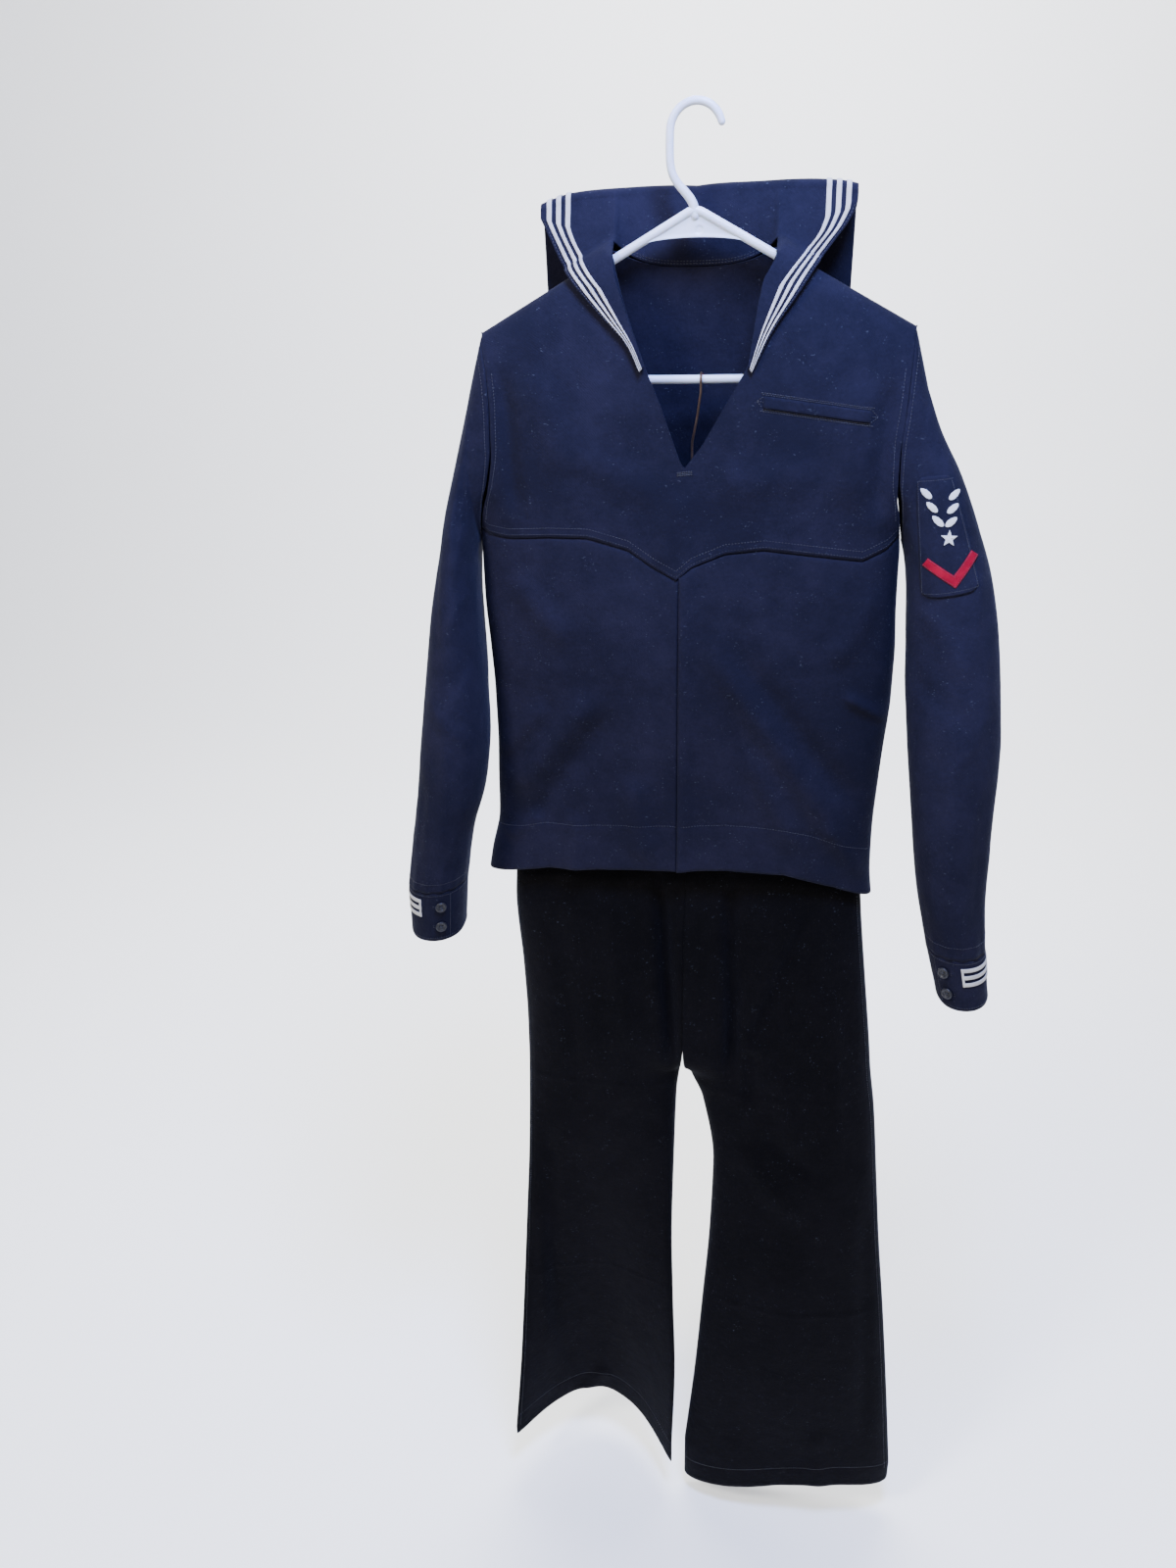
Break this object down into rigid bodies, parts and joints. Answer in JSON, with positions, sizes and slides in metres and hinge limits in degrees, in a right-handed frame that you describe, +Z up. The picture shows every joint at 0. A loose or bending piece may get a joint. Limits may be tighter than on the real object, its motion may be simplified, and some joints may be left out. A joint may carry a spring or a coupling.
{
  "type": "naval dress uniform on a hanger",
  "caption": "Sailor's navy wool jumper with a taped square collar over matching bell-bottomed trousers, hung on a white plastic hanger.",
  "frame": {"origin": "inside top of the hanger's hook, where the rod or nail that holds it bears", "axes": "+Z up, the front of the uniform faces -Y, +X to the viewer's right"},
  "size_m": [0.6607, 0.172, 1.7774],
  "materials": {
    "navy_wool": "matt napped wool melton",
    "trouser_wool": "matt napped wool melton, darker",
    "white_tape": "flat woven cotton tape",
    "white_stitch": "close satin stitch",
    "red_felt": "matt felt",
    "black_button": "soft gloss",
    "white_plastic": "smooth moulded",
    "bronzed_wire": "dull bronzed steel",
    "grey_clip": "moulded, plain"
  },
  "bodies": {
    "root": {"jumper_front_yoke": "navy_wool", "jumper_front_left": "navy_wool", "jumper_front_right": "navy_wool", "jumper_back": "navy_wool", "sleeve_left": "navy_wool", "sleeve_right": "navy_wool", "cuff_left": "navy_wool", "cuff_right": "navy_wool", "collar": "navy_wool", "collar_tape_1": "white_tape", "collar_tape_2": "white_tape", "collar_tape_3": "white_tape", "cuff_tapes_left": "white_tape", "cuff_tapes_right": "white_tape", "cuff_button_left_1": "black_button", "cuff_button_left_2": "black_button", "cuff_button_right_1": "black_button", "cuff_button_right_2": "black_button", "pocket_welt": "navy_wool", "badge_patch": "navy_wool", "badge_chevron": "red_felt", "badge_star": "white_stitch", "badge_leaf_left_1": "white_stitch", "badge_leaf_left_2": "white_stitch", "badge_leaf_left_3": "white_stitch", "badge_leaf_right_1": "white_stitch", "badge_leaf_right_2": "white_stitch", "badge_leaf_right_3": "white_stitch", "trousers_front_left": "trouser_wool", "trousers_front_left_leg": "trouser_wool", "trousers_front_right": "trouser_wool", "trousers_front_right_leg": "trouser_wool", "trousers_back_left": "trouser_wool", "trousers_back_left_leg": "trouser_wool", "trousers_back_right": "trouser_wool", "trousers_back_right_leg": "trouser_wool", "trousers_waistband": "trouser_wool", "hanger": "white_plastic", "trouser_hanger": "bronzed_wire", "trouser_clip_left": "grey_clip", "trouser_clip_right": "grey_clip"}
  },
  "joints": []
}
